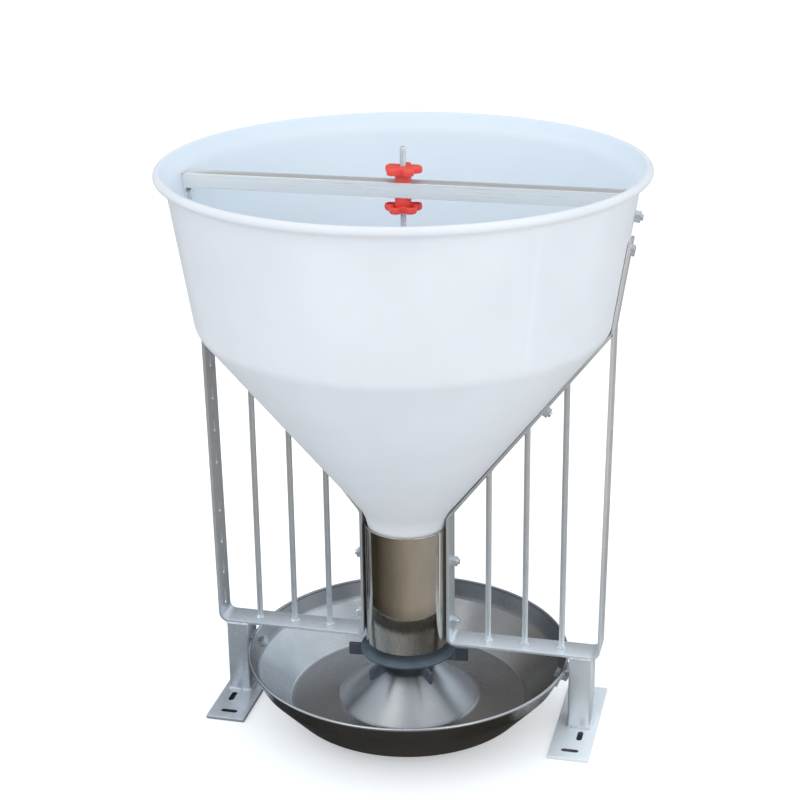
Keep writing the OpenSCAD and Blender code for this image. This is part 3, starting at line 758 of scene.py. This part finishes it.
def hopper():
    """Moulded shell with its flared lip, as one closed outline turned round the axis."""
    outside, inside = sheet([NECK_END, NECK, SHOULDER, WALL_TOP], HOPPER_BENDS, HOPPER_T)
    edge = arc(LIP, LIP_R, *LIP_ARC, LIP_STEPS)
    bend = Vector((wall_r(LIP_BEND_Z), LIP_BEND_Z))
    flare = Vector((wall_r(LIP_FLARE_Z) - HOPPER_T / math.cos(WALL_LEAN), LIP_FLARE_Z))
    under = rounded([outside[-2], bend, edge[0]], [LIP_UNDER_BEND])[1:-1]
    over = rounded([edge[-1], flare, inside[-2]], [LIP_OVER_BEND])[1:-1]
    bm = bmesh.new()
    lathe(bm, outside[:-1] + under + edge + over + inside[-2::-1], HOPPER_SEGMENTS)
    piece("hopper_shell", bm, "stand", "polyethylene", "hopper")


def feed_tube():
    """Thin tube with rolled ends."""
    low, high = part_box("feed_tube")
    half = TUBE_T / 2
    middle = TUBE_R - half
    outline = arc(Vector((middle, high.z - half)), half, 0, 180, TUBE_END_STEPS)
    outline += arc(Vector((middle, low.z + half)), half, 180, 360, TUBE_END_STEPS)
    bm = bmesh.new()
    lathe(bm, outline, STEEL_SEGMENTS)
    piece("feed_tube_shell", bm, "stand", "polished_steel", "feed_tube")


def pan():
    """Pressed dish with a raised middle and a rolled rim."""
    path = [
        Vector((0, PAN_CONE_TOP.y)), PAN_CONE_TOP, Vector((PAN_CONE_R, PAN_FLOOR_Z)),
        Vector((PAN_FLOOR_R, PAN_FLOOR_Z)), PAN_KNUCKLE, PAN_WALL,
    ]
    below, above = sheet(path, PAN_BENDS, PAN_T)
    bm = bmesh.new()
    lathe(bm, below + above[::-1], STEEL_SEGMENTS, loop=False)
    lathe(bm, arc(PAN_WALL, PAN_BEAD_R, *PAN_ROLL, PAN_ROLL_STEPS), STEEL_SEGMENTS)
    piece("pan_dish", bm, "stand", "pan_steel", "pan")


def side_bar(name, side):
    """One flat bar bent round a panel: down the cone, along the bottom and up the leg to the hopper wall."""
    path = [
        SHOULDER, Vector((TUBE_R, cone_z(TUBE_R))), Vector((TUBE_R, BAR_LOW_Z)),
        Vector((leg_x(BAR_LOW_Z), BAR_LOW_Z)), Vector((LEG_TOP_X, SHOULDER.y)),
        Vector((wall_r(BAR_END_Z) + BAR_T / math.cos(WALL_LEAN), BAR_END_Z)),
    ]
    one, other = sheet(path, BAR_BENDS, BAR_T)
    bm = bmesh.new()
    strip(bm, one, other, [BAR_W] * len(one), side, BAR_EDGE)
    made = piece(name + "_bent_bar", bm, "stand", "galvanised", name)
    cutters = bmesh.new()
    for group in range(SLOT_GROUPS):
        for i in range(SLOTS_IN_GROUP):
            z = SLOT_FIRST_Z + group * SLOT_GROUP_RISE + i * SLOT_PITCH
            x = side * (leg_x(z) - BAR_T / 2)
            rings = [[Vector((x + d, p.y, z + p.x)) for p in stadium(*SLOT)] for d in (-BAR_T, BAR_T)]
            skin(cutters, rings, caps=True)
    cut(made, cutters)


def post(name, side):
    """Box section post."""
    low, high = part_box(name)
    depth = high.y - low.y
    outer = rounded_rectangle(POST_W, depth, POST_CORNER)
    inner = rounded_rectangle(POST_W - 2 * POST_T, depth - 2 * POST_T, POST_INNER_CORNER)
    bm = bmesh.new()
    box_tube(bm, outer, inner, lambda p, z: Vector((side * POST_X + p.x, p.y, z)), (low.z, high.z))
    piece(name + "_section", bm, "stand", "galvanised", name)


def foot_plate(name, side):
    """Plate with rounded edges and four slots."""
    low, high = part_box(name)
    size, centre = high - low, (low + high) / 2
    bm = bmesh.new()
    block(bm, Matrix.Translation(centre), size, PLATE_EDGE)
    made = piece(name + "_slab", bm, "stand", "galvanised", name)
    cutters = bmesh.new()
    for end in (-1, 1):
        cross_y = end * (size.y / 2 - CROSS_SLOT_INSET)
        cross = [Vector((centre.x + p.x, cross_y + p.y)) for p in stadium(*PLATE_SLOT)]
        shift = centre.x + side * LONG_SLOT_SHIFT
        along = [Vector((shift + p.y, end * LONG_SLOT_SPAN / 2 + p.x)) for p in stadium(*PLATE_SLOT)]
        for outline in (cross, along):
            rings = [[p.to_3d() + Vector((0, 0, z)) for p in outline] for z in (-PLATE_T, 2 * PLATE_T)]
            skin(cutters, rings, caps=True)
    cut(made, cutters)


def pan_bracket(name, side):
    """Bent strap from a post down the pan wall."""
    slope = (PAN_WALL.x - PAN_KNUCKLE.x) / (PAN_WALL.y - PAN_KNUCKLE.y)
    top_x, end_x = (PAN_KNUCKLE.x + (z - PAN_KNUCKLE.y) * slope for z in (STRAP_TOP_Z, STRAP_END_Z))
    path = [
        Vector((POST_X - POST_W / 2, STRAP_TOP_Z)), Vector((top_x, STRAP_TOP_Z)),
        Vector((end_x, STRAP_END_Z)),
    ]
    one, other = sheet(path, [STRAP_BEND], STRAP_T)
    bm = bmesh.new()
    strip(bm, one, other, [STRAP_W] * len(one), side, STRAP_EDGE)
    piece(name + "_strap", bm, "stand", "galvanised", name)


def crossbar():
    """Hollow bar across the hopper, whose top wall turns down at both ends into tabs with round feet."""
    def tab_x(z):
        return wall_r(z) - TAB_GAP / math.cos(WALL_LEAN)

    def bar_end(p, side):
        z = middle_z + p.y
        return Vector((side * (tab_x(z) - CROSSBAR_T), p.x, z))

    middle_z, height = (CROSSBAR_LOW_Z + CROSSBAR_TOP_Z) / 2, CROSSBAR_TOP_Z - CROSSBAR_LOW_Z
    outer = rounded_rectangle(CROSSBAR_W, height, CROSSBAR_CORNER)
    inner = rounded_rectangle(CROSSBAR_W - 2 * CROSSBAR_T, height - 2 * CROSSBAR_T, CROSSBAR_INNER_CORNER)
    bm = bmesh.new()
    box_tube(bm, outer, inner, bar_end, (-1, 1))
    path = [
        Vector((tab_x(CROSSBAR_LOW_Z) - TAB_STEP - TAB_LAP, CROSSBAR_TOP_Z)),
        Vector((tab_x(CROSSBAR_TOP_Z), CROSSBAR_TOP_Z)), Vector((tab_x(TAB_END_Z), TAB_END_Z)),
    ]
    one, other = sheet(path, [TAB_BEND], -CROSSBAR_T)
    down = heading(path, 1)
    reach = CROSSBAR_W / 2
    round_end = [math.radians(k * 10) for k in range(1, 9)]
    for line in (one, other):
        foot = line[-1]
        line[-1:] = [foot - down * reach] + [foot - down * reach * (1 - math.sin(a)) for a in round_end]
    widths = [CROSSBAR_W] * (len(one) - len(round_end)) + [CROSSBAR_W * math.cos(a) for a in round_end]
    for side in (-1, 1):
        strip(bm, one, other, widths, side, TAB_EDGE)
    piece("crossbar_beam", bm, "stand", "stainless", "crossbar")


def threaded_rod():
    """Rod with a rolled thread from end to end, both of whose ends are closed."""
    low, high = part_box("threaded_rod")
    first = low.z + THREAD_PITCH
    rows = int((high.z - 2 * THREAD_PITCH - first) / THREAD_PITCH * THREAD_STEPS)
    tip_r = THREAD_ROOT_R - ROD_CHAMFER
    bm = bmesh.new()
    lathe(bm, [
        Vector((0, low.z)), Vector((tip_r, low.z)), Vector((THREAD_ROOT_R, low.z + ROD_CHAMFER_H)),
        Vector((THREAD_ROOT_R, high.z - ROD_CHAMFER_H)), Vector((tip_r, high.z)), Vector((0, high.z)),
    ], ROD_SEGMENTS, loop=False)

    def at(row, radius, rise):
        z = first + THREAD_PITCH * (row / THREAD_STEPS + rise)
        return bm.verts.new(spun(radius, 2 * math.pi * row / THREAD_STEPS, z))

    roots = [at(row, THREAD_ROOT_R, 0) for row in range(rows + THREAD_STEPS)]
    crests = [at(row, ROD_R, 0.5) for row in range(rows)]
    above = roots[THREAD_STEPS:]
    for row in range(rows - 1):
        bm.faces.new((roots[row], roots[row + 1], crests[row + 1], crests[row]))
        bm.faces.new((crests[row], crests[row + 1], above[row + 1], above[row]))
    for row in (0, rows - 1):
        loop = roots[row:row + THREAD_STEPS + 1] + [crests[row]]
        tip = bm.verts.new((0, 0, crests[row].co.z))
        for i, start in enumerate(loop):
            bm.faces.new((loop[i - 1], start, tip))
    piece("rod_thread", bm, "rod", "zinc_plated", "threaded_rod")


def knob(name, base_z, way, turn):
    """Star knob on its hub, with soft lobes, hollow on the hub side, and a low dome over its insert."""
    def star(angle):
        lobe = 0.5 + 0.5 * math.cos(LOBES * (angle - math.radians(turn)))
        return KNOB_R - (KNOB_R - KNOB_WAIST_R) * (1 - lobe) ** 1.5

    def radius(base, share, angle):
        if share == 1:
            return base + star(angle)
        return base + (star(angle) - DOME_INSET - base) * share

    # Rings from the hub's end over the lobes and the dome into the bore: a radius, the star's share in it
    # and a height. With a share of 1 the radius is counted from the star's outline.
    low, high = KNOB_HUB_H, KNOB_H
    levels = [
        (KNOB_HUB_R - 0.0006, 0, 0), (KNOB_HUB_R, 0, 0.0006), (KNOB_HUB_R, 0, low + 0.0052),
        (KNOB_HUB_R + 0.0012, 0, low + 0.0064), (-0.004, 1, low + 0.0064), (-0.0032, 1, low + 0.0056),
        (-0.003, 1, low + 0.0008), (-0.0024, 1, low + 0.0002), (-0.0014, 1, low + 0.0003),
        (-0.0005, 1, low + 0.001), (0, 1, low + 0.0026),
        (0, 1, high - 0.0048), (-0.0004, 1, high - 0.003), (-0.0016, 1, high - 0.0013),
        (-0.0036, 1, high - 0.0003), (-0.006, 1, high), (0.011, 0.3, high + 0.0003),
        (0.0098, 0, high + 0.0007), (0.0062, 0, high + 0.0008), (0.0055, 0, high + 0.0004),
        (0.0055, 0, high + 0.0001), (0.0087, 0, high + 0.0001), (0.0087, 0, 0),
    ]
    rings = [
        [spun(radius(base, share, a), a, base_z + way * height) for a in circle(KNOB_SEGMENTS)]
        for base, share, height in levels
    ]
    bm = bmesh.new()
    skin(bm, rings, loop=True)
    piece(name + "_grip", bm, name, "red_plastic", name)


def feed_wheel():
    """Cast disc with a hub, and paddles that hang from its edge."""
    low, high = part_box("feed_wheel")[0].z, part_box("feed_wheel")[1].z
    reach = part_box("feed_wheel")[1].x / math.cos(math.radians(PADDLE_TURN)) - PADDLE_TIP_GAP
    hub_low, skirt_z = WHEEL_LOW_Z - HUB_DROP, WHEEL_LOW_Z - SKIRT_DROP
    profile = [
        Vector((WHEEL_BORE_R, hub_low)), Vector((HUB_R, hub_low)), Vector((HUB_R, WHEEL_LOW_Z)),
        Vector((WHEEL_R - 0.009, WHEEL_LOW_Z)), Vector((WHEEL_R - 0.006, skirt_z)),
        Vector((WHEEL_R - 0.0004, skirt_z)), Vector((WHEEL_R, WHEEL_TOP_Z - 0.0022)),
        Vector((WHEEL_R - 0.012, WHEEL_TOP_Z)), Vector((HUB_R + 0.0005, WHEEL_TOP_Z)),
        Vector((HUB_R - 0.001, high)), Vector((WHEEL_BORE_R, high)),
    ]
    bm = bmesh.new()
    lathe(bm, rounded(profile, WHEEL_BENDS, WHEEL_BEND_STEP), WHEEL_SEGMENTS)
    inner = WHEEL_R - PADDLE_REACH_IN
    top = WHEEL_LOW_Z + PADDLE_LAP
    for i in range(PADDLES):
        turn = Matrix.Rotation(math.radians(PADDLE_TURN + 360 * i / PADDLES), 4, "Z")
        place = turn @ Matrix.Translation(((inner + reach) / 2, 0, (low + top) / 2))
        block(bm, place, (reach - inner, PADDLE_T, top - low), PADDLE_EDGE)
    piece("feed_wheel_casting", bm, "wheel", "wheel_iron", "feed_wheel")


def rod_welds(bm, i, x, side):
    """Beads at both ends of a panel's rod, with a drop and some spatter in front of its foot."""
    floor_z = BAR_LOW_Z + BAR_T
    around = [Vector((x + ROD_R * math.cos(a), ROD_R * math.sin(a))) for a in circle(ROD_WELD_SEGMENTS)]
    foot = [Vector((side * p.x, p.y, floor_z + ROD_FOOT_WELD_RISE)) for p in around]
    weld(bm, foot, ROD_FOOT_WELD_R)
    head = [Vector((side * p.x, p.y, slant_z(p.x) - ROD_HEAD_WELD_DROP)) for p in around]
    weld(bm, head, ROD_HEAD_WELD_R)
    drop(bm, Vector((side * x, -ROD_R - ROD_DROP_FRONT, floor_z + ROD_DROP_RISE)), ROD_DROP_R)
    for k in range(SPATTER_COUNT):
        away, angle = SPATTER_NEAR + SPATTER_STEP * k, SPATTER_TURN * (k + 3 * i)
        y = -SPATTER_FRONT + SPATTER_SQUASH * away * math.sin(angle)
        at = Vector((side * x + away * math.cos(angle), y, floor_z))
        drop(bm, at, SPATTER_R + SPATTER_R_STEP * (k % 3))


def panel_welds(name, side):
    """Beads where the rods and the post were joined to the bar and the plate."""
    bm = bmesh.new()
    for i, x in enumerate(rod_xs()):
        rod_welds(bm, i, x, side)
    corners = rounded_rectangle(POST_W, BAR_W, POST_CORNER)
    ring = []
    for i, p in enumerate(corners):
        q = corners[(i + 1) % len(corners)]
        count = max(1, round((q - p).length / POST_WELD_STEP))
        ring += [p + (q - p) * k / count for k in range(count)]
    for z, radius in POST_WELDS:
        weld(bm, [Vector((side * POST_X + p.x, p.y, z)) for p in ring], radius)
    piece(name + "_panel_welds", bm, "stand", "galvanised", look="weld_metal")


hopper()
feed_tube()
pan()
crossbar()
threaded_rod()
knob("upper_knob", CROSSBAR_TOP_Z, 1, 18)
knob("lower_knob", CROSSBAR_LOW_Z, -1, 30)
feed_wheel()
for name, side in (("left", -1), ("right", 1)):
    side_bar(name + "_side_bar", side)
    post(name + "_post", side)
    foot_plate(name + "_foot_plate", side)
    pan_bracket(name + "_pan_bracket", side)
    panel_welds(name, side)


# Studio


def floor():
    """Plain pale floor with a painted shadow under the foot plates, which metal sees as a painted reflection
    of darker ground, darkest close to the feeder.
    """
    bm = bmesh.new()
    bmesh.ops.create_grid(bm, x_segments=1, y_segments=1, size=FLOOR_REACH)
    look = Look("floor", Roughness=0.9, Emission_Color=srgb(250, 251, 252))
    tint = look.ramp(look.grain(3), (0.3, srgb(228, 229, 231)), (0.7, srgb(234, 235, 237)))
    # Painted shadow on the floor under the foot plates, seen through their slots: darker and without glow
    under = look.by_feet(PLATE_X, *FLOOR_SHADE)
    look.finish(Base_Color=look.mixed(under, tint, srgb(56, 58, 58)),
                Emission_Strength=look.spread(under, 0, 1, 0.4, 0))
    # Painted reflection: metal sees a glowing ground, dark with a bright strip, set by the turn round the
    # feeder
    ground = look.ramp(
        look.around(), (0.0, srgb(120, 117, 112)), (0.14, srgb(66, 62, 54)), (0.3, srgb(60, 56, 46)),
        (0.42, srgb(116, 110, 100)), (0.56, srgb(172, 165, 155)), (0.76, srgb(168, 164, 158)),
        (0.79, srgb(255, 255, 255)), (0.82, srgb(255, 255, 255)), (0.84, srgb(120, 118, 112)),
        (1.0, srgb(120, 117, 112)),
    )
    # Painted shadow in the reflected ground, darkest close to the feeder
    near = look.spread(look.radius(), 0.3, 0.7, 0.14, 1)
    dark = look.node("Emission", {"Color": ground, "Strength": near}).outputs["Emission"]
    dull = look.node("BsdfDiffuse", {"Color": srgb(226, 227, 228)}).outputs["BSDF"]
    ray = look.node("LightPath").outputs
    lit = look.either(ray["Is Diffuse Ray"], look.shader.outputs["BSDF"], dull)
    both = look.either(ray["Is Glossy Ray"], lit, dark)
    look.feed(look.tree.nodes["Material Output"].inputs["Surface"], both)
    mesh = mesh_of(bm, "floor")
    mesh.materials.append(look.material)
    made = added("floor", mesh)


def area_light(name, at, size, watts):
    """Round soft light that points at the middle of the feeder."""
    light = bpy.data.lights.new(name, "AREA")
    light.shape, light.size, light.energy = "DISK", size, watts
    light.color = LIGHT_COLOUR
    made = added(name, light)
    made.location = at
    made.rotation_euler = (Vector(LIGHT_AIM) - Vector(at)).to_track_quat("-Z", "Y").to_euler()


def surroundings():
    """White backdrop, soft white light, and a sky with a dark side for the metal to reflect."""
    world = bpy.data.worlds.new("studio")
    bpy.context.scene.world = world
    world.use_nodes = True
    world.node_tree.nodes.clear()
    sky = Nodes(world.node_tree, "Generated")
    low = sky.ramp(
        sky.around(), (0.0, srgb(106, 102, 102)), (0.06, srgb(98, 94, 92)), (0.14, srgb(120, 120, 122)),
        (0.25, srgb(216, 226, 236)), (0.38, srgb(200, 207, 216)), (0.46, srgb(124, 128, 137)),
        (0.6, srgb(124, 128, 137)), (0.69, srgb(200, 206, 212)), (0.76, srgb(236, 240, 244)),
        (0.9, srgb(214, 227, 236)), (0.955, srgb(220, 233, 242)), (0.985, srgb(126, 125, 128)),
        (1.0, srgb(106, 102, 102)),
    )
    mirrored = sky.mixed(sky.spread(sky.part("Z"), 0.45, 0.8, 0, 1), low, srgb(236, 242, 248))

    def light(colour, strength):
        return sky.node("Background", {"Color": colour, "Strength": strength}).outputs["Background"]

    ray = sky.node("LightPath").outputs
    unseen = sky.either(ray["Is Glossy Ray"], light(srgb(240, 248, 255), 1.08), light(mirrored, 1.0))
    both = sky.either(ray["Is Camera Ray"], unseen, light(srgb(253, 253, 254), 1.0))
    sky.node("OutputWorld", {"Surface": both})


def camera():
    """Camera at the place from which the feeder was seen, above the rim and to its right."""
    yaw, pitch, roll = (math.radians(a) for a in CAMERA_TURNS)
    ahead = Vector((-math.sin(yaw) * math.cos(pitch), math.cos(yaw) * math.cos(pitch), -math.sin(pitch)))
    level = ahead.cross(Vector((0, 0, 1))).normalized()
    rise = level.cross(ahead)
    right = level * math.cos(roll) + rise * math.sin(roll)
    up = rise * math.cos(roll) - level * math.sin(roll)
    lens = bpy.data.cameras.new("camera")
    lens.sensor_width, lens.lens = CAMERA_SENSOR, CAMERA_LENS
    made = added("camera", lens)
    made.matrix_world = Matrix((right, up, -ahead)).transposed().to_4x4()
    made.location = CAMERA_AT
    bpy.context.scene.camera = made


floor()
area_light("key", (-1.2, -2.6, 3.4), size=2.6, watts=21)
area_light("fill", (2.4, -2.2, 2.2), size=2.0, watts=15)
surroundings()
camera()
bpy.context.scene.view_settings.view_transform = "Standard"
